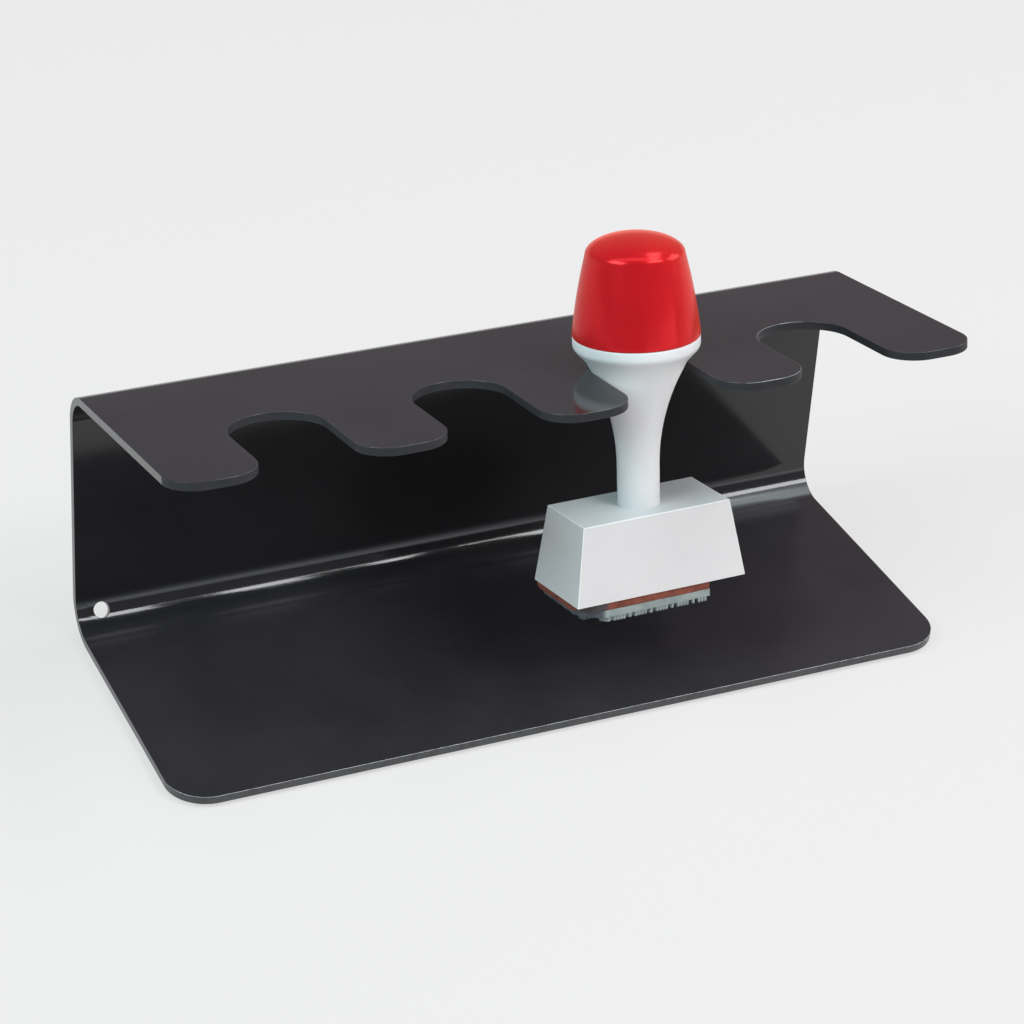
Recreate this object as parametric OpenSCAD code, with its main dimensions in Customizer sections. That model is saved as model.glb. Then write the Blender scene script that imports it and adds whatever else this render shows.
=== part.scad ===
// Desk rack for rubber stamps: one folded steel sheet whose shelf has open notches,
// with one hand stamp that hangs by its flared handle in a notch.
// Millimetres. +Z is up, +X is to the right, the open front faces -Y.
// The origin lies under the middle of the footprint, on the surface that the pads stand on.

/* [Rack sheet] */
// Length of the rack, left to right
rack_w = 200; // [190:1:240]
// Depth of the base, front edge to back face
base_d = 78; // [74:0.5:100]
// Height of the back, from the sheet's underside to the corner where its outer faces would meet
wall_h = 67; // [62:0.5:90]
// Length of the shelf, from that corner to the fronts of the tabs
shelf_l = 76; // [70:0.5:78]
// Rise of the shelf towards the front, in degrees
shelf_tilt = 13; // [6:0.5:18]
// Thickness of the sheet
sheet_t = 2; // [1:0.1:3]
// Outside radius of both folds
fold_r = 10; // [5:0.5:12]
// Radius of the base's two front corners
base_corner_r = 10; // [2:0.5:20]

/* [Notches] */
// Width of a notch
notch_w = 22.8; // [20:0.1:24]
// Distance of the notch's round end from the back corner, at the middle of its curve
notch_back = 50.5; // [46:0.5:54]
// Radius of the corners at the fronts of the tabs
tab_corner_r = 8.5; // [2:0.5:10]

/* [Hole in the lower fold] */
// Diameter of the hole
hole_d = 4; // [2:0.5:5]
// Distance of the hole from the left end
hole_inset = 6.2; // [5:0.1:20]
// Place of the hole round the fold, in degrees down from the back
hole_angle = 32; // [20:1:60]

/* [Foot pads] */
// Diameter of a pad
pad_d = 10; // [6:0.5:14]
// Thickness of a pad
pad_t = 1; // [0.5:0.1:3]
// Distance of a pad's middle from the edges of the base
pad_inset = 14; // [11:0.5:18]

/* [Stamp handle] */
// Notch that the stamp hangs in, counted from the left
stamp_notch = 3; // [1:1:4]
// Swivel of the hanging stamp, in degrees
stamp_turn = 2.5; // [-10:0.5:10]
// Sideways lean of the hanging stamp, in degrees
stamp_lean = 0.6; // [-1:0.1:1]
// Air between the flare and the notch's upper edge
hang_gap = 0.2; // [0.2:0.05:0.6]
// Diameter of the neck
neck_d = 10.1; // [8:0.1:11]
// Slope of the flare, in degrees from the axis
flare_angle = 26; // [22:0.5:28]
// Radius of the curve from the neck into the flare
flare_bend_r = 52; // [30:1:60]
// Height over the shelf at which the flare runs out into the collar
collar_lift = 1.8; // [1.5:0.1:2.4]
// Height of the collar's sloping underside
collar_slope_h = 3.2; // [2.6:0.1:4]
// Height of the collar's upright rim
collar_h = 2.6; // [2:0.1:3.6]
// Diameter of the collar
collar_d = 30; // [29:0.1:32]
// Diameter of the head inside the cap
head_d = 25; // [22:0.1:25.5]
// Height of the head over the collar
head_h = 8; // [5:0.5:10]

/* [Handle cap] */
// Height of the cap
cap_h = 24.2; // [22:0.1:28]
// Diameter of the cap's lower edge
cap_base_d = 30.2; // [29.4:0.1:32]
// Diameter of the cap where its shoulder starts
cap_shoulder_d = 23.4; // [22:0.1:25]
// Outward bow of the cap's side
cap_bow = 0.35; // [0.1:0.05:0.6]
// Height of the domed top over the shoulder
cap_dome_h = 4.8; // [3:0.1:6]
// Wall of the cap
cap_wall = 1.6; // [1.2:0.1:2]
// Radial play between the cap and the head
cap_play = 0.08; // [0.05:0.01:0.1]

/* [Stamp mount] */
// Distance of the mount's top below the shelf
mount_drop = 34; // [32:0.5:36]
// Length of the mount at the bottom
mount_l = 45; // [43:0.5:56]
// Length of the mount at the top
mount_top_l = 39; // [36:0.5:40]
// Width of the mount at the bottom
mount_b = 22.5; // [20:0.5:26]
// Width of the mount at the top
mount_top_b = 18.5; // [16:0.5:20]
// Height of the mount
mount_h = 19; // [16:0.5:20]
// Thickness of the mount over the screw's counterbore
seat_h = 8; // [5:0.5:9]

/* [Mount screw] */
// Diameter of the screw's thread
screw_d = 3; // [2.5:0.1:3.5]
// Length of the screw under its head
screw_l = 19; // [16:0.5:22]

/* [Die] */
// Distance of the cushion's left side from the middle of the mount
cushion_left = 22; // [20.4:0.1:22.4]
// Distance of the rubber plate's left side from the middle of the mount
plate_left = 20.4; // [18:0.1:21.4]
// Corner clipped off the die at its front left
die_clip = 4.5; // [2:0.1:6]
// Distance of the die's front right corner from the middle of the mount
die_front_right = 13; // [9:0.5:18]
// Distance of the die's back right corner from the middle of the mount
die_back_right = 20; // [18:0.1:21.4]
// Width of the die, front to back
die_b = 21.8; // [16:0.1:22]
// Thickness of the cushion
cushion_t = 2; // [1:0.1:3]
// Thickness of the rubber plate, relief included
plate_t = 2.9; // [1.8:0.1:3.5]

/* [Hidden] */
$fn = 96;
cut = 1;                // how far a cutting shape runs past a face
corner_slip = 0.005;    // how far a rounded corner's curve runs past the two faces it meets
arc_steps = 16;         // chords in a drawn curve

notch_count = 4;
tab_w = (rack_w - notch_count * notch_w) / (notch_count + 1);
inner_fold_r = fold_r - sheet_t;
back_y = base_d / 2;

// Angle of the upper fold, which turns the square back into the rising shelf
upper_fold = 90 - shelf_tilt;
// Straight length that the upper fold takes from each side of its outer corner
upper_fold_set = fold_r * tan(upper_fold / 2);

// Handle: radius on the notch's edge, and where the flare's curve meets its slope and the neck
neck_r = neck_d / 2;
hang_r = notch_w / 2 - hang_gap;
flare_r = neck_r + flare_bend_r * (1 - cos(flare_angle));
flare_z = (flare_r - hang_r) / tan(flare_angle);
neck_z = flare_z - flare_bend_r * sin(flare_angle);
collar_rim_z = collar_lift + collar_slope_h;
collar_z = collar_rim_z + collar_h;
head_gap = 0.3;         // air over the head, inside the cap

// Screw: head, pilot hole that its thread bites into, clearance hole and counterbore in the mount
screw_head_d = 5.6;
screw_head_h = 2;
pilot_d = screw_d - 0.5;
clear_d = screw_d + 0.4;
counterbore_d = screw_head_d + 1.4;
slot_l = screw_head_d / 1.5;
slot_b = screw_head_d / 7;
seat_z = -mount_drop - seat_h;
mount_z = -mount_drop - mount_h;

// Relief on the rubber plate: plain bars in rows
relief_h = 1.2;
relief_rows = 4;
relief_bars = 6;
relief_border = 1.4;
bar_share = 0.62;       // part of each row and step that the bar fills
bar_growth = 0.1;       // what each step of the pattern adds to that share

function notch_x(i) = -rack_w / 2 + tab_w * i + notch_w * (i - 0.5);
function arc(c, r, from, to) =
    [for (i = [0:arc_steps]) let (a = from + (to - from) * i / arc_steps) c + r * [cos(a), sin(a)]];

// Places children in the shelf's own frame: its upper face is z = 0, its back corner y = 0, its front -Y
module in_shelf() {
    translate([0, back_y, pad_t + wall_h]) rotate([-shelf_tilt, 0, 0]) children();
}

// Places children on the hanging stamp's axis, with z = 0 on the shelf's upper face
module in_stamp() {
    in_shelf() translate([notch_x(stamp_notch), -notch_back, 0])
        rotate([0, stamp_lean, 0]) rotate([0, 0, stamp_turn]) children();
}

// Side view of the folded sheet, with its underside on 0 and its back face on 0
module sheet_profile() {
    lower_c = [-fold_r, fold_r];
    upper_c = [-fold_r, wall_h - upper_fold_set];
    along = [-cos(shelf_tilt), sin(shelf_tilt)];
    shelf_front = [0, wall_h] + shelf_l * along;
    down = [-sin(shelf_tilt), -cos(shelf_tilt)];
    polygon(concat(
        [[-base_d, 0]],
        arc(lower_c, fold_r, -90, 0),
        arc(upper_c, fold_r, 0, upper_fold),
        [shelf_front, shelf_front + sheet_t * down],
        arc(upper_c, inner_fold_r, upper_fold, 0),
        arc(lower_c, inner_fold_r, 0, -90),
        [[-base_d, sheet_t]]
    ));
}

// Open notch: a round end and straight sides out through the shelf's front
module notch_cut(i) {
    depth = 4 * sheet_t;
    translate([notch_x(i), -notch_back, -depth / 2]) {
        cylinder(d = notch_w, h = depth);
        translate([-notch_w / 2, -shelf_l, 0]) cube([notch_w, shelf_l, depth]);
    }
}

// What is taken off a square corner to round it: the corner lies at (r, r), upright
module corner_cut(r) {
    depth = 4 * sheet_t;
    translate([0, 0, -depth / 2]) difference() {
        cube([r + cut, r + cut, depth]);
        translate([0, 0, -cut]) cylinder(r = r, h = depth + 2 * cut);
    }
}

// Rounds the two front corners of a strip that ends at y = -front, between x = -half and half
module front_corner_cuts(half, front, r) {
    for (side = [-1, 1]) translate([side * (half - r + corner_slip), -front + r - corner_slip, 0])
        mirror([side < 0 ? 1 : 0, 0, 0]) mirror([0, 1, 0]) corner_cut(r);
}

module rack_sheet() color([0.10, 0.10, 0.11]) difference() {
    translate([-rack_w / 2, back_y, pad_t]) rotate([90, 0, 90]) linear_extrude(rack_w) sheet_profile();
    in_shelf() for (i = [1:notch_count]) notch_cut(i);
    in_shelf() for (i = [0:notch_count])
        translate([-rack_w / 2 + tab_w / 2 + i * (tab_w + notch_w), 0, 0])
            front_corner_cuts(tab_w / 2, shelf_l, tab_corner_r);
    translate([0, 0, pad_t]) front_corner_cuts(rack_w / 2, base_d / 2, base_corner_r);
    translate([-rack_w / 2 + hole_inset, back_y - fold_r, pad_t + fold_r]) rotate([-90 - hole_angle, 0, 0])
        cylinder(d = hole_d, h = fold_r + cut);
}

module foot_pad(side, end) color([0.16, 0.16, 0.16])
    translate([side * (rack_w / 2 - pad_inset), end * (base_d / 2 - pad_inset), 0])
        cylinder(d = pad_d, h = pad_t);

module foot_pad_front_left() foot_pad(-1, -1);
module foot_pad_front_right() foot_pad(1, -1);
module foot_pad_back_left() foot_pad(-1, 1);
module foot_pad_back_right() foot_pad(1, 1);

// Half outline of the handle: neck, curve, flare, sloping collar and the head for the cap
module handle_outline() {
    collar_r = collar_d / 2;
    head_r = head_d / 2;
    flare_top_r = hang_r + collar_lift * tan(flare_angle);
    polygon(concat(
        [[0, -mount_drop], [neck_r, -mount_drop]],
        arc([neck_r + flare_bend_r, neck_z], flare_bend_r, 180, 180 - flare_angle),
        [[flare_top_r, collar_lift], [collar_r, collar_rim_z], [collar_r, collar_z]],
        [[head_r, collar_z], [head_r, collar_z + head_h], [0, collar_z + head_h]]
    ));
}

module stamp_handle() color([0.82, 0.83, 0.84]) in_stamp() difference() {
    rotate_extrude() handle_outline();
    translate([0, 0, -mount_drop - cut]) cylinder(d = pilot_d, h = screw_l - seat_h + 2 * cut);
}

// Half outline of the cap from a height upwards, bowed at the side and domed on top, drawn in by a wall
module cap_outline(wall, from) {
    side_h = cap_h - cap_dome_h;
    shoulder_r = cap_shoulder_d / 2;
    base_r = cap_base_d / 2;
    first = from / side_h;
    side = [for (i = [0:arc_steps]) let (u = first + (1 - first) * i / arc_steps)
        [base_r + (shoulder_r - base_r) * u + 4 * cap_bow * u * (1 - u) - wall, side_h * u]];
    dome = [for (i = [1:arc_steps]) let (a = 90 * i / arc_steps)
        [(shoulder_r - wall) * cos(a), side_h + (cap_dome_h - wall) * sin(a)]];
    translate([0, collar_z]) polygon(concat([[0, from]], side, dome));
}

module handle_cap() color([0.80, 0.08, 0.10]) in_stamp() difference() {
    rotate_extrude() cap_outline(0, 0);
    rotate_extrude() cap_outline(cap_wall, head_h);
    translate([0, 0, collar_z - cut]) cylinder(r = head_d / 2 + cap_play, h = head_h + head_gap + cut);
}

// Tapered block with flat sides: a long and a cross trapezium, both run through and kept where they meet
module tapered_block(bottom_l, top_l, bottom_b, top_b, h) {
    intersection() {
        rotate([90, 0, 0]) linear_extrude(2 * bottom_b, center = true) trapezium(bottom_l, top_l, h);
        rotate([90, 0, 90]) linear_extrude(2 * bottom_l, center = true) trapezium(bottom_b, top_b, h);
    }
}

module trapezium(bottom, top, h) {
    polygon([[-bottom / 2, 0], [bottom / 2, 0], [top / 2, h], [-top / 2, h]]);
}

module stamp_mount() color([0.80, 0.82, 0.84]) in_stamp() difference() {
    translate([0, 0, mount_z]) tapered_block(mount_l, mount_top_l, mount_b, mount_top_b, mount_h);
    translate([0, 0, mount_z - cut]) cylinder(d = counterbore_d, h = seat_z - mount_z + cut);
    translate([0, 0, seat_z - cut]) cylinder(d = clear_d, h = seat_h + 2 * cut);
}

// Pan-head screw, driven up through the mount into the neck, with a cross slot
module mount_screw() color([0.66, 0.67, 0.69]) in_stamp() translate([0, 0, seat_z]) difference() {
    union() {
        translate([0, 0, -screw_head_h]) cylinder(d = screw_head_d, h = screw_head_h);
        cylinder(d = screw_d, h = screw_l);
    }
    for (turn = [0, 90]) rotate([0, 0, turn])
        translate([-slot_l / 2, -slot_b / 2, -screw_head_h - cut])
            cube([slot_l, slot_b, cut + screw_head_h / 2]);
}

// Places children on the die, with z = 0 on the mount's underside
module in_die() {
    in_stamp() translate([0, 0, mount_z]) children();
}

// Left and right limits of the die at a distance from its front edge
function die_from(left, y) = -left + max(0, die_clip - y);
function die_to(y) = die_front_right + (die_back_right - die_front_right) * y / die_b;

// Hand-trimmed outline of a layer of the die, with one corner clipped off
module die_outline(left) {
    translate([0, -die_b / 2]) polygon([
        [die_from(left, 0), 0], [die_to(0), 0],
        [die_to(die_b), die_b], [-left, die_b], [-left, die_clip]
    ]);
}

module die_cushion() color([0.50, 0.22, 0.18]) in_die()
    translate([0, 0, -cushion_t]) linear_extrude(cushion_t) die_outline(cushion_left);

// Rubber plate with rows of bars, whose lengths vary along the row
module text_plate() color([0.60, 0.66, 0.65]) in_die() translate([0, 0, -cushion_t - plate_t]) {
    row_step = (die_b - 2 * relief_border) / relief_rows;
    bar_b = row_step * bar_share;
    translate([0, 0, relief_h]) linear_extrude(plate_t - relief_h) die_outline(plate_left);
    for (row = [0:relief_rows - 1]) {
        row_y = relief_border + row * row_step;
        row_x = die_from(plate_left, row_y) + relief_border;
        bar_step = (die_to(row_y) - relief_border - row_x) / relief_bars;
        for (bar = [0:relief_bars - 1]) {
            bar_l = bar_step * (bar_share + bar_growth * ((2 * row + 3 * bar) % 4));
            translate([row_x + bar * bar_step, -die_b / 2 + row_y, 0])
                cube([bar_l, bar_b, relief_h]);
        }
    }
}

rack_sheet();
foot_pad_front_left();
foot_pad_front_right();
foot_pad_back_left();
foot_pad_back_right();
stamp_handle();
handle_cap();
stamp_mount();
mount_screw();
die_cushion();
text_plate();
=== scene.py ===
import math
import bmesh
import bpy
from mathutils import Matrix, Quaternion, Vector, noise


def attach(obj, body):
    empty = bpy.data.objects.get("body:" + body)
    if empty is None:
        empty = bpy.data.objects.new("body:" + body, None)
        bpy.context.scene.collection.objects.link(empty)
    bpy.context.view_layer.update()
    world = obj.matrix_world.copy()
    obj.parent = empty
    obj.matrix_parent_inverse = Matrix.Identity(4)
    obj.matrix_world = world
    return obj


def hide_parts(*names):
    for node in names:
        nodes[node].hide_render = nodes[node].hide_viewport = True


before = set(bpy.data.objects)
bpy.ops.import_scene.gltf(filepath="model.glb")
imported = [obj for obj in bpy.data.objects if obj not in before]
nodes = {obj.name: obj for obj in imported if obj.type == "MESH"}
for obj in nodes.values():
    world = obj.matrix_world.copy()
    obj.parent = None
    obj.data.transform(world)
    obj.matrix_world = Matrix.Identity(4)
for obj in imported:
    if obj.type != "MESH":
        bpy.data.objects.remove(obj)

scene = bpy.context.scene
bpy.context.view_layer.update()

mm = 0.001
mergeGap = 0.002 * mm


# one output socket, so that shader sums read as plain Python
class Wire:
    def __init__(self, tree, socket):
        self.tree = tree
        self.socket = socket

    def sum(self, operation, first, second):
        node = self.tree.nodes.new("ShaderNodeMath")
        node.operation = operation
        for slot, value in zip(node.inputs, (first, second)):
            plug(self.tree, slot, value)
        return Wire(self.tree, node.outputs[0])

    def __add__(self, other): return self.sum("ADD", self, other)
    def __radd__(self, other): return self.sum("ADD", other, self)
    def __sub__(self, other): return self.sum("SUBTRACT", self, other)
    def __rsub__(self, other): return self.sum("SUBTRACT", other, self)
    def __mul__(self, other): return self.sum("MULTIPLY", self, other)
    def __rmul__(self, other): return self.sum("MULTIPLY", other, self)
    def __gt__(self, other): return self.sum("GREATER_THAN", self, other)
    def __lt__(self, other): return self.sum("LESS_THAN", self, other)


def plug(tree, slot, value):
    if isinstance(value, Wire):
        tree.links.new(value.socket, slot)
    elif hasattr(slot.default_value, "__len__") and len(slot.default_value) == 4 and len(value) == 3:
        slot.default_value = (*value, 1)  # a colour without its alpha
    else:
        slot.default_value = value


# a material with its Principled shader, and one way to add any other node
class Finish:
    def __init__(self, name):
        self.material = bpy.data.materials.new(name)
        self.material.use_nodes = True
        self.tree = self.material.node_tree
        self.shader = self.tree.nodes["Principled BSDF"]

    def add(self, kind, settings=None, sockets=None, out=0):
        node = self.tree.nodes.new("ShaderNode" + kind)
        for name, value in (settings or {}).items():
            setattr(node, name, value)
        for name, value in (sockets or {}).items():
            plug(self.tree, node.inputs[name], value)
        return Wire(self.tree, node.outputs[out])

    def mapped(self, **sockets):
        spot = self.add("TexCoord", out="Object")
        return self.add("Mapping", None, {"Vector": spot, **sockets})

    # x, y and z of a point, measured in a frame of its own
    def spotIn(self, frameOf):
        inside = frameOf.inverted()
        spot = self.mapped(Rotation=tuple(inside.to_euler()), Location=tuple(inside.translation))
        return [self.add("SeparateXYZ", None, {"Vector": spot}, out=axis) for axis in range(3)]

    def tag(self, name):
        return self.add("Attribute", {"attribute_name": name}, out="Fac")

    def cloud(self, scale, detail, rough, stretch=(1, 1, 1)):
        return self.add("TexNoise", None, {
            "Vector": self.mapped(Scale=stretch), "Scale": scale, "Detail": detail, "Roughness": rough})

    def fade(self, value, low, high, toLow=0.0, toHigh=1.0):
        return self.add("MapRange", {"clamp": True}, {
            "Value": value, "From Min": low, "From Max": high, "To Min": toLow, "To Max": toHigh})

    # a cloud between two of its levels, as a share from 0 to 1
    def mask(self, low, high, **cloud):
        return self.fade(self.cloud(**cloud), low, high)

    def blend(self, factor, first, second):
        return self.add("Mix", {"data_type": "RGBA", "blend_type": "MIX"}, {
            0: factor, 6: first, 7: second}, out=2)  # the colour sockets of a Mix node

    def bump(self, height, distance, strength, under=None):
        sockets = {"Height": height, "Distance": distance, "Strength": strength}
        if under is not None:
            sockets["Normal"] = under
        return self.add("Bump", None, sockets)

    def dress(self, **sockets):
        for name, value in sockets.items():
            plug(self.tree, self.shader.inputs[name.replace("_", " ")], value)
        return self.material


# black stove paint: glossy and faintly dimpled; painted light makes the base lighter, and the base is
# scuffed duller; bare steel where the edges are worn, which is also a painted glint along the edges
paintLook = dict(
    deep=(0.0165, 0.0155, 0.0170), worn=(0.0245, 0.0230, 0.0250), patchy=0.7, grainy=0.1,
    # painted light: the base's tone below is made lighter, in patches; the base's extra roughness is a scuff
    litBaseTone=(0.032, 0.027, 0.032), litBaseLeast=0.4, litBasePatchy=0.5, scuffFrom=4.2 * mm, scuffTo=3.2 * mm,
    dustAndShade=(0.06, 0.06, 0.062), dustAndShadeShare=0.1,
    # bare steel of worn edges, brightened and tinted bluish as a painted glint of the lamps
    bare=(0.80, 0.84, 0.88), chipped=0.5,
    endTo=-90 * mm, endFrom=64 * mm, fadeFrom=-8 * mm, fadeTo=-30 * mm,  # the shelf's left end
    gloss=0.08, dull=0.15, smeared=0.6, bareDull=0.38, scuffDull=0.13,
    peel=0.010 * mm, ripple=0.10 * mm, ior=1.5)


def blackPaint():
    look = paintLook
    f = Finish("black_stove_paint")
    patch = f.mask(scale=26, detail=4, rough=0.6, low=0.35, high=0.72)
    grain = f.mask(scale=1500, detail=2, rough=0.5, low=0.45, high=0.75)
    specks = f.mask(scale=1900, detail=1, rough=0.4, low=0.72, high=0.80)
    chips = f.mask(scale=420, detail=4, rough=0.65, low=0.36, high=0.50)
    smear = f.mask(scale=9, detail=4, rough=0.6, stretch=(1, 5, 5), low=0.3, high=0.7)
    across, depth, height = f.spotIn(Matrix())
    onEnd = (across < look["endTo"]) * (height > look["endFrom"])
    toFront = f.fade(depth, look["fadeFrom"], look["fadeTo"])
    onBase = f.fade(height, look["scuffFrom"], look["scuffTo"])
    # painted glint: bare steel on the tagged edges, faded towards the front at the shelf's left end
    bare = f.tag("bare") * (1 - look["chipped"] + chips * look["chipped"]) * (1 - onEnd * toFront)
    tone = f.blend(patch * look["patchy"] + grain * look["grainy"], look["deep"], look["worn"])
    # painted light: the base made lighter than the rest of the paint, in patches
    tone = f.blend(onBase * (look["litBaseLeast"] + patch * look["litBasePatchy"]), tone, look["litBaseTone"])
    tone = f.blend(specks * look["dustAndShadeShare"], tone, look["dustAndShade"])
    tone = f.blend(bare, tone, look["bare"])
    hazy = smear * look["smeared"] + patch * (1 - look["smeared"])
    rough = look["gloss"] + (look["dull"] - look["gloss"]) * hazy
    rough = rough + bare * look["bareDull"] + onBase * look["scuffDull"]
    peel = f.bump(f.cloud(scale=520, detail=2, rough=0.45), look["peel"], strength=0.6)
    waves = f.cloud(scale=7, detail=2, rough=0.4, stretch=(3, 8, 8))
    ripple = f.bump(waves, look["ripple"], strength=0.5, under=peel)
    return f.dress(Base_Color=tone, Roughness=rough, Metallic=bare, Normal=ripple, IOR=look["ior"])


# the same paint on the sheet's cut edges, where it dried thin and dull
cutLook = dict(light=(0.023, 0.023, 0.027), dark=(0.012, 0.012, 0.014), streaky=0.4, dull=0.50, matt=0.66,
               shear=0.04 * mm, ior=1.5, shine=0.3)


def cutPaint():
    look = cutLook
    f = Finish("black_paint_on_cut_edge")
    patch = f.mask(scale=180, detail=4, rough=0.6, low=0.3, high=0.7)
    streak = f.mask(scale=240, detail=3, rough=0.6, stretch=(1, 1, 7), low=0.3, high=0.7)
    mixed = patch * (1 - look["streaky"]) + streak * look["streaky"]
    tone = f.blend(mixed, look["dark"], look["light"])
    rough = f.fade(patch, 0, 1, look["dull"], look["matt"])
    shear = f.bump(f.cloud(scale=700, detail=3, rough=0.6), look["shear"], strength=0.5)
    return f.dress(Base_Color=tone, Roughness=rough, Normal=shear, IOR=look["ior"],
                   Specular_IOR_Level=look["shine"])


# pale grey moulded plastic of the handle and the mount, with a painted highlight along broken edges
greyLook = dict(edge=(0.90, 0.88, 0.86), paler=0.85, soil=(0.50, 0.48, 0.45), gloss=0.34, dull=0.50,
                grainy=0.4, skin=0.012 * mm, sink=0.08 * mm, ior=1.47)
# painted light and shade: the handle's grey is paler and the mount's greyer than one plastic would be
handleGrey = dict(light=(0.745, 0.735, 0.74), dark=(0.685, 0.68, 0.685), soiled=0.10)
mountGrey = dict(light=(0.648, 0.61, 0.607), dark=(0.614, 0.58, 0.577), soiled=0.22,
                 # painted shade: a darker teal film on the mount's top, where the cap shades it
                 dustAndShade=(0.46, 0.60, 0.615), dustAndShadeShare=0.30, topShadePatchy=0.25, topShadeFrom=-34.7 * mm,
                 topShadeTo=-34.1 * mm)


def greyPlastic(name, shade, topShadeIn=None):
    look = greyLook
    f = Finish(name)
    patch = f.mask(scale=55, detail=5, rough=0.6, low=0.3, high=0.72)
    soil = f.mask(scale=130, detail=5, rough=0.7, low=0.58, high=0.80)
    grain = f.cloud(scale=2400, detail=2, rough=0.5)
    tone = f.blend(patch, shade["light"], shade["dark"])
    tone = f.blend(soil * shade["soiled"], tone, look["soil"])
    if topShadeIn is not None:  # painted shade on the top, where the cap shades it, tinted teal like the lamps' light
        height = f.spotIn(topShadeIn)[2]
        topShade = 1 - shade["topShadePatchy"] + patch * shade["topShadePatchy"]
        topShade = f.fade(height, shade["topShadeFrom"], shade["topShadeTo"]) * topShade
        tone = f.blend(topShade * shade["dustAndShadeShare"], tone, shade["dustAndShade"])
    # painted highlight: the eased edges made paler
    tone = f.blend(f.tag("rim") * look["paler"], tone, look["edge"])
    hazy = patch * (1 - look["grainy"]) + grain * look["grainy"]
    rough = f.fade(hazy, low=0.2, high=0.8, toLow=look["gloss"], toHigh=look["dull"])
    skin = f.bump(grain, look["skin"], strength=0.5)
    sink = f.bump(f.cloud(scale=60, detail=2, rough=0.4), look["sink"], strength=0.4, under=skin)
    return f.dress(Base_Color=tone, Roughness=rough, Normal=sink, IOR=look["ior"])


# glossy red plastic of the cap, which glows a little at its sides
redLook = dict(light=(0.62, 0.010, 0.018), dark=(0.53, 0.008, 0.015), gloss=0.17, dull=0.25, scratched=0.6,
               skin=0.008 * mm)
redShine = dict(IOR=1.40, Specular_IOR_Level=0.5, Specular_Tint=(1.0, 0.42, 0.36), Metallic=0.28,
                Sheen_Weight=0.9, Sheen_Tint=(1.0, 0.13, 0.07), Sheen_Roughness=0.45,
                Subsurface_Weight=0.3, Subsurface_Radius=(0.004, 0.001, 0.001), Subsurface_Scale=0.8)


def redPlastic():
    look = redLook
    f = Finish("red_cap_plastic")
    patch = f.mask(scale=70, detail=4, rough=0.6, low=0.3, high=0.72)
    scratch = f.mask(scale=60, detail=5, rough=0.7, stretch=(1, 1, 14), low=0.56, high=0.72)
    tone = f.blend(patch, look["light"], look["dark"])
    hazy = scratch * look["scratched"] + patch * (1 - look["scratched"])
    rough = f.fade(hazy, 0, 1, look["gloss"], look["dull"])
    skin = f.bump(f.cloud(scale=900, detail=2, rough=0.5), look["skin"], strength=0.4)
    return f.dress(Base_Color=tone, Roughness=rough, Normal=skin, **redShine)


# red-brown foam under the mount, its front left corner darkened as painted shade
foamLook = dict(light=(0.26, 0.072, 0.043), dark=(0.135, 0.037, 0.025), inkAndShade=(0.050, 0.052, 0.062), inkAndShadeShare=0.9,
                inkAndShadeFrom=-13.5 * mm, inkAndShadeTo=-15.0 * mm, cornerShadeBack=-7.0 * mm, cornerShadeFront=-8.0 * mm,
                dull=0.82, matt=0.95, poreDepth=0.20 * mm, poreScale=1900, ior=1.4)


def redFoam(place):
    look = foamLook
    f = Finish("red_brown_foam")
    across, depth = f.spotIn(place)[:2]
    # painted shade: the front left corner under the mount made dark and bluish
    cornerShade = f.fade(across, look["inkAndShadeFrom"], look["inkAndShadeTo"]) * f.fade(depth, look["cornerShadeBack"], look["cornerShadeFront"])
    cells = f.add("TexVoronoi", {"feature": "F1"}, {"Vector": f.mapped(), "Scale": look["poreScale"]})
    patch = f.mask(scale=300, detail=4, rough=0.6, low=0.3, high=0.7)
    tone = f.blend(patch, look["light"], look["dark"])
    tone = f.blend(cornerShade * look["inkAndShadeShare"], tone, look["inkAndShade"])
    rough = f.fade(patch, 0, 1, look["dull"], look["matt"])
    pores = f.bump(cells, look["poreDepth"], strength=0.7)
    return f.dress(Base_Color=tone, Roughness=rough, Normal=pores, IOR=look["ior"])


# pale rubber of the printing plate, with dried ink on its relief and painted shade on its left end
plateLook = dict(light=(0.31, 0.345, 0.33), dark=(0.19, 0.22, 0.215), inkAndShade=(0.035, 0.033, 0.045), inkAndShadeShare=0.85,
                 inkAndShadeFrom=0.35 * mm, inkAndShadeTo=0.05 * mm, leftEndShade=(0.062, 0.066, 0.078), leftEndShadePatchy=0.2,
                 leftEndShadeFrom=-14.6 * mm, leftEndShadeTo=-15.8 * mm, dull=0.55, matt=0.75, skin=0.05 * mm, ior=1.45)


def plateRubber(place, lowest):
    look = plateLook
    f = Finish("pale_plate_rubber")
    across, height = f.spotIn(place)[::2]
    patch = f.mask(scale=260, detail=5, rough=0.65, low=0.3, high=0.7)
    inkAndShadeMottle = f.mask(scale=420, detail=4, rough=0.6, low=0.3, high=0.6)
    face = f.fade(height, lowest + look["inkAndShadeFrom"], lowest + look["inkAndShadeTo"])
    # painted shade: the left end made dark and bluish, in patches
    leftEnd = f.fade(across, look["leftEndShadeFrom"], look["leftEndShadeTo"])
    tone = f.blend(patch, look["light"], look["dark"])
    tone = f.blend(face * inkAndShadeMottle * look["inkAndShadeShare"], tone, look["inkAndShade"])
    leftEndShadeAmount = 1 - look["leftEndShadePatchy"] + inkAndShadeMottle * look["leftEndShadePatchy"]
    tone = f.blend(leftEnd * leftEndShadeAmount, tone, look["leftEndShade"])
    rough = f.fade(patch, 0, 1, look["dull"], look["matt"])
    skin = f.bump(f.cloud(scale=1600, detail=3, rough=0.6), look["skin"], strength=0.5)
    return f.dress(Base_Color=tone, Roughness=rough, Normal=skin, IOR=look["ior"])


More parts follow.
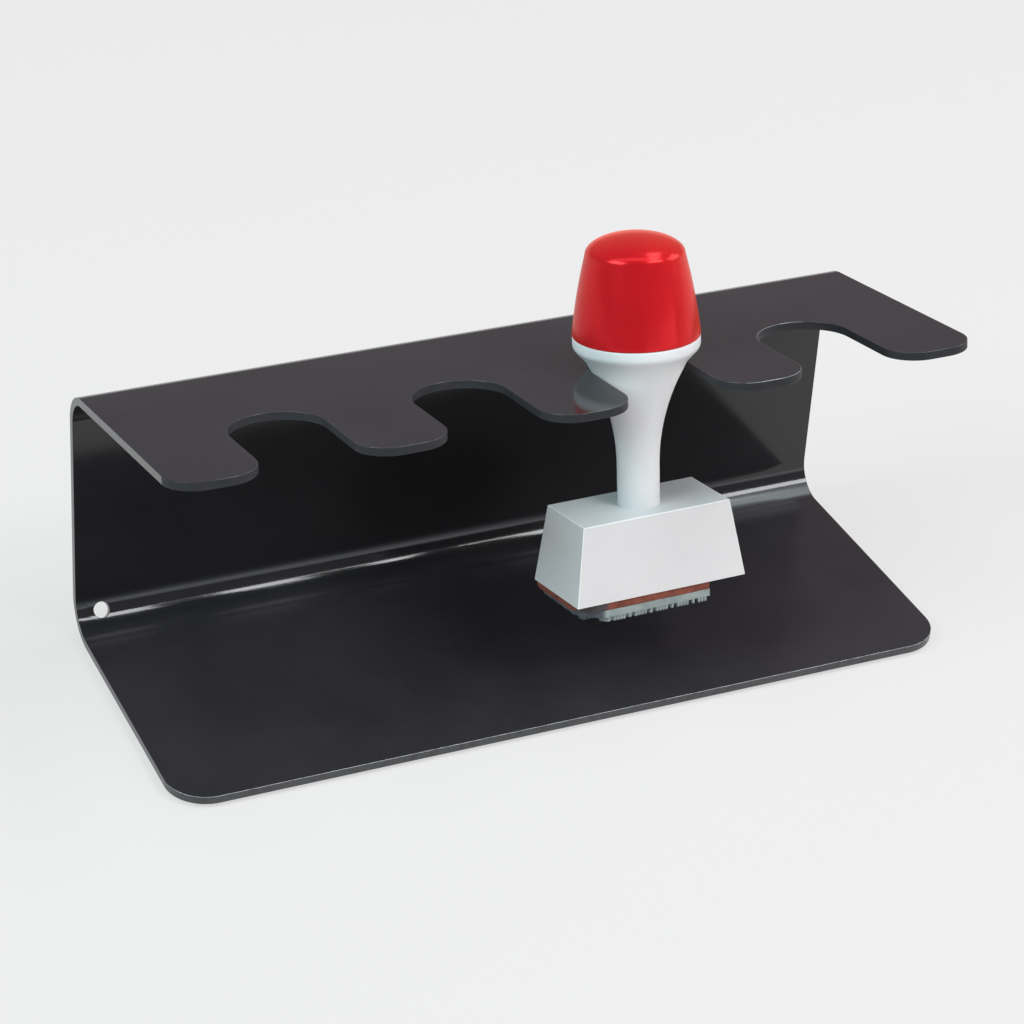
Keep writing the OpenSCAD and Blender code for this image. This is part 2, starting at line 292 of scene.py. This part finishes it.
# black rubber of the foot pads, a little dusty
padLook = dict(deep=(0.022, 0.022, 0.023), worn=(0.036, 0.036, 0.037), dustAndShade=(0.16, 0.15, 0.14), dustAndShadeShare=0.3,
               dull=0.7, matt=0.9, skin=0.04 * mm, ior=1.45)


def padRubber():
    look = padLook
    f = Finish("pad_rubber")
    patch = f.mask(scale=240, detail=4, rough=0.6, low=0.3, high=0.7)
    dustAndShade = f.mask(scale=900, detail=3, rough=0.6, low=0.52, high=0.75)
    tone = f.blend(patch, look["deep"], look["worn"])
    tone = f.blend(dustAndShade * look["dustAndShadeShare"], tone, look["dustAndShade"])
    rough = f.fade(dustAndShade, 0, 1, look["dull"], look["matt"])
    skin = f.bump(f.cloud(scale=2200, detail=2, rough=0.5), look["skin"], strength=0.6)
    return f.dress(Base_Color=tone, Roughness=rough, Normal=skin, IOR=look["ior"])


# zinc plated steel of the screw, with turning marks
steelLook = dict(dark=(0.50, 0.51, 0.53), light=(0.62, 0.62, 0.60), gloss=0.24, dull=0.42, marks=0.02 * mm)


def screwSteel():
    look = steelLook
    f = Finish("plated_screw_steel")
    marks = f.cloud(scale=900, detail=3, rough=0.6, stretch=(1, 1, 6))
    tone = f.blend(marks, look["dark"], look["light"])
    rough = f.fade(marks, low=0.3, high=0.7, toLow=look["gloss"], toHigh=look["dull"])
    skin = f.bump(marks, look["marks"], strength=0.5)
    return f.dress(Base_Color=tone, Roughness=rough, Metallic=1.0, Normal=skin)


# where the stamp hangs: in the middle of its notch, on the shelf's upper face, nearly square to the shelf
stamp = dict(notch=3, notches=4, width=200, notchWidth=22.8, depth=78, rise=68, notchBack=50.5, tilt=13,
             turn=2.5, lean=0.6)


def stampPlace():
    tab = (stamp["width"] - stamp["notches"] * stamp["notchWidth"]) / (stamp["notches"] + 1)
    x = -stamp["width"] / 2 + stamp["notch"] * tab + (stamp["notch"] - 0.5) * stamp["notchWidth"]
    corner = Matrix.Translation(Vector((0, stamp["depth"] / 2, stamp["rise"])) * mm)
    along = Matrix.Translation(Vector((x, -stamp["notchBack"], 0)) * mm)
    tilt = Matrix.Rotation(-math.radians(stamp["tilt"]), 4, "X")
    lean = Matrix.Rotation(math.radians(stamp["lean"]), 4, "Y")
    return corner @ tilt @ along @ lean @ Matrix.Rotation(math.radians(stamp["turn"]), 4, "Z")


onStamp = stampPlace()


# makes the object, shades it smooth between its sharp edges, hangs it on its body and hides the CAD parts it
# stands for
def settle(bm, name, body, material, stands, sharp=38, even=False):
    mesh = bpy.data.meshes.new(name)
    bm.to_mesh(mesh)
    bm.free()
    piece = bpy.data.objects.new(name, mesh)
    scene.collection.objects.link(piece)
    mesh.polygons.foreach_set("use_smooth", [True] * len(mesh.polygons))
    mesh.set_sharp_from_angle(angle=math.radians(sharp))
    if even:
        weigh = piece.modifiers.new("even_shading", "WEIGHTED_NORMAL")
        weigh.weight = 100
        weigh.keep_sharp = True
    mesh.materials.append(material)
    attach(piece, body)
    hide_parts(*stands)
    print("piece:", name, len(mesh.polygons), "faces")
    return piece


def easeEdges(bm, edges, width, rows):
    return bmesh.ops.bevel(bm, geom=edges, offset=width, offset_type="OFFSET", segments=rows, profile=0.5,
                           affect="EDGES", clamp_overlap=True, material=-1)["faces"]


def vertsOf(geom):
    return [part for part in geom if isinstance(part, bmesh.types.BMVert)]


# a CAD solid with its sharp edges eased, and the eased faces tagged as rim
easing = dict(flatTo=0.8, sharpFrom=28)


def easedCopy(nodeName, width, rows):
    bm = bmesh.new()
    bm.from_mesh(nodes[nodeName].data)
    rim = bm.faces.layers.float.new("rim")
    bmesh.ops.remove_doubles(bm, verts=bm.verts, dist=mergeGap)
    bmesh.ops.dissolve_limit(bm, angle_limit=math.radians(easing["flatTo"]), verts=bm.verts, edges=bm.edges)
    sharpFrom = math.radians(easing["sharpFrom"])
    crisp = [e for e in bm.edges if len(e.link_faces) == 2 and e.calc_face_angle() > sharpFrom]
    for face in easeEdges(bm, crisp, width, rows):
        face[rim] = 1.0
    return bm


# turns a half outline of (radius, height) points in mm about the stamp's axis
def turned(outline, steps):
    bm = bmesh.new()
    spots = [bm.verts.new((r * mm, 0, z * mm)) for r, z in outline]
    lines = [bm.edges.new(pair) for pair in zip(spots, spots[1:])]
    bmesh.ops.spin(bm, geom=spots + lines, cent=(0, 0, 0), axis=(0, 0, 1), angle=2 * math.pi, steps=steps,
                   use_merge=True, use_duplicate=False)
    bmesh.ops.remove_doubles(bm, verts=bm.verts, dist=mergeGap)
    bmesh.ops.recalc_face_normals(bm, faces=bm.faces)
    return bm


# rounds the rings that lie at the given (radius, height, size) corners
ringGap = 0.01 * mm


def roundRings(bm, corners, rows):
    for r, z, size in corners:
        def onRing(v):
            return abs(math.hypot(v.co.x, v.co.y) - r * mm) < ringGap and abs(v.co.z - z * mm) < ringGap
        easeEdges(bm, [e for e in bm.edges if all(onRing(v) for v in e.verts)], size * mm, rows)


# sheet: folded and notched, its edges eased
sheet = dict(ease=0.62 * mm, rows=4)
# how bare each edge is, as worn steel and as a painted glint: most at the shelf's left end, some along the
# base's front and round the last notch
edgeWearAndGlint = dict(shelfEnd=0.92, endRim=0.25, leftEnd=0.02, baseFront=0.04, baseRim=0.46, anyRim=0.05,
                lastNotch=0.36, leftTo=-99 * mm, shelfFrom=64 * mm, baseTo=4 * mm, notchFrom=38 * mm,
                notchTo=72 * mm)
facing = dict(side=0.2, square=0.02, front=0.99, bitUp=0.1, up=0.3)  # how far a normal points that way


# along points to the front, up the shelf's slope
def wearAndGlintEdges(bm, along):
    rim = bm.faces.layers.float["rim"]
    # the bare tag is worn steel and also a painted glint: on the shelf's left end, the base's front and
    # round the last notch
    bare = bm.faces.layers.float.new("bare")
    for face in bm.faces:
        face.normal_update()
        n = face.normal
        spot = face.calc_center_median()
        eased = face[rim] > 0.5
        toFront = n.dot(along)
        onShelf = spot.z > edgeWearAndGlint["shelfFrom"]
        atLeft = spot.x < edgeWearAndGlint["leftTo"]
        atFront = spot.y < 0 and spot.z < edgeWearAndGlint["baseTo"]
        if atLeft and n.x < -facing["side"] and toFront < facing["square"]:
            onEnd = edgeWearAndGlint["endRim"] if eased else edgeWearAndGlint["shelfEnd"]
            face[bare] = onEnd if onShelf else edgeWearAndGlint["leftEnd"]
        elif atFront and n.y < -facing["side"]:
            onRim = eased and n.z > facing["bitUp"]
            face[bare] = edgeWearAndGlint["baseRim"] if onRim else edgeWearAndGlint["baseFront"]
        elif onShelf and not eased and (abs(n.x) > facing["square"] or toFront > facing["front"]):
            face.material_index = 1  # cut edges of tabs and notches
        elif onShelf and eased and n.z > facing["up"]:
            byNotch = edgeWearAndGlint["notchFrom"] < spot.x < edgeWearAndGlint["notchTo"]
            face[bare] = edgeWearAndGlint["lastNotch"] if byNotch else edgeWearAndGlint["anyRim"]


slope = math.radians(stamp["tilt"])
bm = easedCopy("rack_sheet", sheet["ease"], sheet["rows"])
wearAndGlintEdges(bm, Vector((0, -math.cos(slope), math.sin(slope))))
sheetPiece = settle(bm, "sheet_painted", "rack", blackPaint(), ["rack_sheet"], even=True)
sheetPiece.data.materials.append(cutPaint())

# handle: neck, flare, sloping collar and the head under the cap
handle = dict(foot=-34.0, neck=5.05, bend=52.0, slope=26.0, hang=11.2, collarLift=1.8, collarRim=5.0,
              collarTop=7.6, collar=15.0, head=12.5, headTop=15.6,
              rimRound=0.7, seamRound=0.35, headRound=0.8, roundRows=5, bendSteps=20, steps=112)


def handleOutline():
    h = handle
    slope = math.radians(h["slope"])
    bendR = h["neck"] + h["bend"] * (1 - math.cos(slope))
    bendZ = (bendR - h["hang"]) / math.tan(slope)
    neckZ = bendZ - h["bend"] * math.sin(slope)
    lip = h["hang"] + h["collarLift"] * math.tan(slope)
    outline = [(0, h["foot"]), (h["neck"], h["foot"])]
    for i in range(h["bendSteps"] + 1):
        a = math.radians(180 - h["slope"] * i / h["bendSteps"])
        outline.append((h["neck"] + h["bend"] + h["bend"] * math.cos(a), neckZ + h["bend"] * math.sin(a)))
    return outline + [
        (lip, h["collarLift"]), (h["collar"], h["collarRim"]), (h["collar"], h["collarTop"]),
        (h["head"], h["collarTop"]), (h["head"], h["headTop"]), (0, h["headTop"])]


bm = turned(handleOutline(), handle["steps"])
roundRings(bm, [(handle["collar"], handle["collarRim"], handle["rimRound"]),
                (handle["collar"], handle["collarTop"], handle["seamRound"]),
                (handle["head"], handle["headTop"], handle["headRound"])], handle["roundRows"])
bm.transform(onStamp)
settle(bm, "handle_grey", "stamp", greyPlastic("grey_handle_plastic", handleGrey),
       ["stamp_handle"])

# cap: bowed side, round shoulder, shallow dome, bored for the head
cap = dict(base=7.6, radius=15.1, shoulder=11.7, bow=0.35, side=19.4, join=0.98, dome=4.8, wall=1.6,
           bore=12.58, boreTop=15.9, rimRound=0.4, boreRound=0.3, roundRows=4,
           sideSteps=16, domeSteps=30, domeFrom=2, steps=112)


def capSide(wall, first):
    spots = []
    for i in range(cap["sideSteps"] + 1):
        u = first + (cap["join"] - first) * i / cap["sideSteps"]
        r = cap["radius"] + (cap["shoulder"] - cap["radius"]) * u + 4 * cap["bow"] * u * (1 - u) - wall
        spots.append((r, cap["base"] + cap["side"] * u))
    return spots


def capDome(wall):
    spots = []
    for i in range(cap["domeFrom"], cap["domeSteps"] + 1):
        a = math.radians(90 * i / cap["domeSteps"])
        spots.append(((cap["shoulder"] - wall) * math.cos(a),
                      cap["base"] + cap["side"] + (cap["dome"] - wall) * math.sin(a)))
    return spots


skin = capDome(0)[::-1] + capSide(0, 0)[::-1]
bore = [(cap["bore"], cap["base"]), (cap["bore"], cap["boreTop"])]
hollow = capSide(cap["wall"], (cap["boreTop"] - cap["base"]) / cap["side"]) + capDome(cap["wall"])
bm = turned(skin + bore + hollow, cap["steps"])
roundRings(bm, [(cap["radius"], cap["base"], cap["rimRound"]), (cap["bore"], cap["base"], cap["boreRound"])],
           cap["roundRows"])
bm.transform(onStamp)
settle(bm, "cap_red", "cap", redPlastic(), ["handle_cap"])

# mount: the tapered block, its edges just broken
mount = dict(ease=0.45 * mm, rows=3)
settle(easedCopy("stamp_mount", mount["ease"], mount["rows"]), "mount_grey", "stamp",
       greyPlastic("grey_mount_plastic", mountGrey, onStamp), ["stamp_mount"], even=True)

# foam and plate were trimmed by hand: straight left side, clipped front left corner, slanting right side
die = dict(clip=4.5, frontRight=13.0, backRight=20.0, depth=21.8)


# takes a shape from the unit square to the die's outline
def trim(bm, left):
    for v in bm.verts:
        y = (v.co.y + 0.5) * die["depth"]
        low = max(0, die["clip"] - y) - left
        high = die["frontRight"] + (die["backRight"] - die["frontRight"]) * y / die["depth"]
        v.co.x = (low + (high - low) * (v.co.x + 0.5)) * mm
        v.co.y = (y - die["depth"] / 2) * mm


# foam layer: its sides bulge a little and are slightly ragged
foam = dict(left=22.0, top=-53.0, thick=2.0, bulge=0.12, rag=0.10, ragAcross=9, ragUp=3,
            cuts=11, sideGap=1e-4, fill=0.9)
bm = bmesh.new()
bmesh.ops.create_cube(bm, size=1)
bmesh.ops.subdivide_edges(bm, edges=bm.edges, cuts=foam["cuts"], use_grid_fill=True)
for v in bm.verts:
    belly = foam["bulge"] * (1 - 4 * v.co.z * v.co.z)
    rag = foam["rag"] * noise.noise(Vector((
        v.co.x * foam["ragAcross"], v.co.y * foam["ragAcross"], v.co.z * foam["ragUp"])))
    for axis, span in ((0, foam["left"] + die["frontRight"]), (1, die["depth"])):
        if abs(abs(v.co[axis]) - 0.5) < foam["sideGap"]:
            v.co[axis] *= 1 + 2 * (belly + rag - foam["bulge"] - foam["rag"]) / span
trim(bm, foam["left"])
bmesh.ops.scale(bm, vec=(1, 1, foam["thick"] * mm), verts=bm.verts)
bmesh.ops.translate(bm, vec=(0, 0, (foam["top"] - foam["thick"] / 2) * mm), verts=bm.verts)
bm.transform(onStamp)
foamPiece = settle(bm, "cushion_foam", "stamp", redFoam(onStamp), ["die_cushion"], sharp=50)

# printing plate: a thin web with rows of raised bars on its underside, in no real text
plate = dict(left=20.4, under=-55.0, deep=2.9, web=1.7, rows=11, steps=36, draft=0.08, tip=0.9, gapEvery=7,
             gapAt=4)
bm = bmesh.new()
bmesh.ops.create_grid(bm, x_segments=plate["steps"], y_segments=plate["rows"], size=0.5)
raised = []
for face in bm.faces:
    spot = face.calc_center_median()
    row = int((spot.y + 0.5) * plate["rows"])
    step = int((spot.x + 0.5) * plate["steps"])
    atEnd = step in (0, plate["steps"] - 1)
    gap = (5 * row + 3 * step + step * step) % plate["gapEvery"] == plate["gapAt"]
    if row % 2 == 0 and not atEnd and not gap:
        raised.append(face)
trim(bm, plate["left"])
bmesh.ops.inset_individual(bm, faces=raised, thickness=plate["draft"] * mm, use_even_offset=True)
for face in bmesh.ops.extrude_discrete_faces(bm, faces=raised)["faces"]:
    bmesh.ops.translate(bm, vec=(0, 0, -(plate["deep"] - plate["web"]) * mm), verts=face.verts)
    toMiddle = Matrix.Translation(-face.calc_center_median())
    bmesh.ops.scale(bm, vec=(plate["tip"], plate["tip"], 1), verts=face.verts, space=toMiddle)
wall = bmesh.ops.extrude_edge_only(bm, edges=[e for e in bm.edges if e.is_boundary])["geom"]
bmesh.ops.translate(bm, vec=(0, 0, plate["web"] * mm), verts=vertsOf(wall))
bmesh.ops.holes_fill(bm, edges=[e for e in bm.edges if e.is_boundary], sides=0)
bmesh.ops.recalc_face_normals(bm, faces=bm.faces)
bmesh.ops.translate(bm, vec=(0, 0, (plate["under"] - plate["web"]) * mm), verts=bm.verts)
bm.transform(onStamp)
settle(bm, "plate_relief", "stamp",
       plateRubber(onStamp, (plate["under"] - plate["deep"]) * mm), ["text_plate"])

# foot pads: thin discs with a soft lower rim
pad = dict(radius=5.0, thick=1.0, rim=0.35, rimRows=4, x=86.0, y=25.0, segments=56)
rubber = padRubber()
for side, sideName in ((-1, "left"), (1, "right")):
    for end, endName in ((-1, "front"), (1, "back")):
        bm = bmesh.new()
        bmesh.ops.create_circle(bm, cap_ends=True, segments=pad["segments"], radius=pad["radius"] * mm)
        upper = bmesh.ops.extrude_face_region(bm, geom=list(bm.faces))["geom"]
        bmesh.ops.translate(bm, vec=(0, 0, pad["thick"] * mm), verts=vertsOf(upper))
        bmesh.ops.recalc_face_normals(bm, faces=bm.faces)
        lower = [e for e in bm.edges if all(v.co.z < mergeGap for v in e.verts)]
        easeEdges(bm, lower, pad["rim"] * mm, pad["rimRows"])
        bmesh.ops.translate(bm, vec=(side * pad["x"] * mm, end * pad["y"] * mm, 0), verts=bm.verts)
        settle(bm, "pad_%s_%s" % (endName, sideName), "rack", rubber,
               ["foot_pad_%s_%s" % (endName, sideName)], sharp=30)

# the screw keeps its CAD shape
screw = nodes["mount_screw"]
screw.data.materials.clear()
screw.data.materials.append(screwSteel())
print("screw: plated steel on the CAD shape")

# pale floor, which keeps the shadow, a hair below the pads
floorLook = dict(size=60.0, cells=8, drop=0.02 * mm, colour=(0.617, 0.567, 0.545), rough=0.9, ior=1.2,
                 glow=0.87, share=0.7)
bm = bmesh.new()
bmesh.ops.create_grid(bm, x_segments=floorLook["cells"], y_segments=floorLook["cells"],
                      size=floorLook["size"] / 2)
bmesh.ops.translate(bm, vec=(0, 0, -floorLook["drop"]), verts=bm.verts)
floorMesh = bpy.data.meshes.new("floor")
bm.to_mesh(floorMesh)
bm.free()
floor = bpy.data.objects.new("floor", floorMesh)
scene.collection.objects.link(floor)
f = Finish("pale_floor")
f.dress(Base_Color=floorLook["colour"], Roughness=floorLook["rough"], IOR=floorLook["ior"])
seen = f.add("LightPath", out="Is Camera Ray") + f.add("LightPath", out="Is Glossy Ray")
seen = seen + f.add("LightPath", out="Is Transmission Ray")
glow = f.add("Emission", None, {"Color": (floorLook["glow"],) * 3, "Strength": 1.0})
lit = Wire(f.tree, f.shader.outputs[0])
mixed = f.add("MixShader", None, {0: seen * floorLook["share"], 1: lit, 2: glow})
f.tree.links.new(mixed.socket, f.tree.nodes["Material Output"].inputs["Surface"])
floorMesh.materials.append(f.material)
print("floor:", floorLook["size"], "m")

# soft boxes from the front right and the sides, strips overhead and low in front, and an even room
aimAt = Vector((0, 0, 0.04))
lamps = [
    dict(name="key_soft_box", at=(0.74, -1.12, 1.48), size=(0.95, 0.42), roll=-35,
         power=15, tint=(0.975, 0.985, 1.0)),
    dict(name="left_soft_box", at=(-1.54, -0.26, 1.22), size=(1.2, 0.9), roll=0,
         power=29, tint=(0.67, 0.96, 1.0)),
    dict(name="right_soft_box", at=(1.50, -0.20, 0.70), size=(0.9, 0.8), roll=0,
         power=8, tint=(0.97, 1.0, 1.0)),
    dict(name="overhead_strip", at=(-0.10, -0.23, 1.65), size=(2.6, 0.6), roll=0,
         power=9.5, tint=(0.86, 0.97, 1.0)),
    dict(name="right_strip", at=(0.70, -0.10, 1.65), size=(1.4, 0.5), roll=0,
         power=11, tint=(0.86, 0.97, 1.0)),
    dict(name="low_front_strip", at=(0.70, -1.90, 0.22), size=(2.4, 0.35), roll=0,
         power=3.5, tint=(0.85, 0.95, 1.0)),
]
for lamp in lamps:
    light = bpy.data.lights.new(lamp["name"], "AREA")
    light.shape = "RECTANGLE"
    light.size, light.size_y = lamp["size"]
    light.energy = lamp["power"]
    light.color = lamp["tint"]
    box = bpy.data.objects.new(lamp["name"], light)
    scene.collection.objects.link(box)
    box.location = lamp["at"]
    aim = (aimAt - Vector(lamp["at"])).to_track_quat("-Z", "Y")
    box.rotation_euler = (aim @ Quaternion((0, 0, 1), math.radians(lamp["roll"]))).to_euler()

roomLook = dict(colour=(0.235, 0.200, 0.215), strength=1.0)
room = bpy.data.worlds.new("room")
scene.world = room
room.use_nodes = True
air = room.node_tree.nodes["Background"].inputs
plug(room.node_tree, air["Color"], roomLook["colour"])
plug(room.node_tree, air["Strength"], roomLook["strength"])
print("light:", len(lamps), "lamps and the room")

# the photograph's view
eye = dict(at=(-0.29646, -0.60523, 0.46380), right=(0.913, -0.404, 0.056), up=(0.174, 0.509, 0.843),
           lens=116.86, sensor=36, near=0.01, far=50)
cameraData = bpy.data.cameras.new("photo_view")
cameraData.lens = eye["lens"]
cameraData.sensor_width = eye["sensor"]
cameraData.clip_start, cameraData.clip_end = eye["near"], eye["far"]
camera = bpy.data.objects.new("photo_view", cameraData)
scene.collection.objects.link(camera)
right = Vector(eye["right"]).normalized()
up = Vector(eye["up"])
up = (up - up.dot(right) * right).normalized()
turn = Matrix((right, up, right.cross(up))).transposed()
camera.matrix_world = Matrix.Translation(eye["at"]) @ turn.to_4x4()
scene.camera = camera
scene.view_settings.view_transform = "Standard"

print("scene ready")
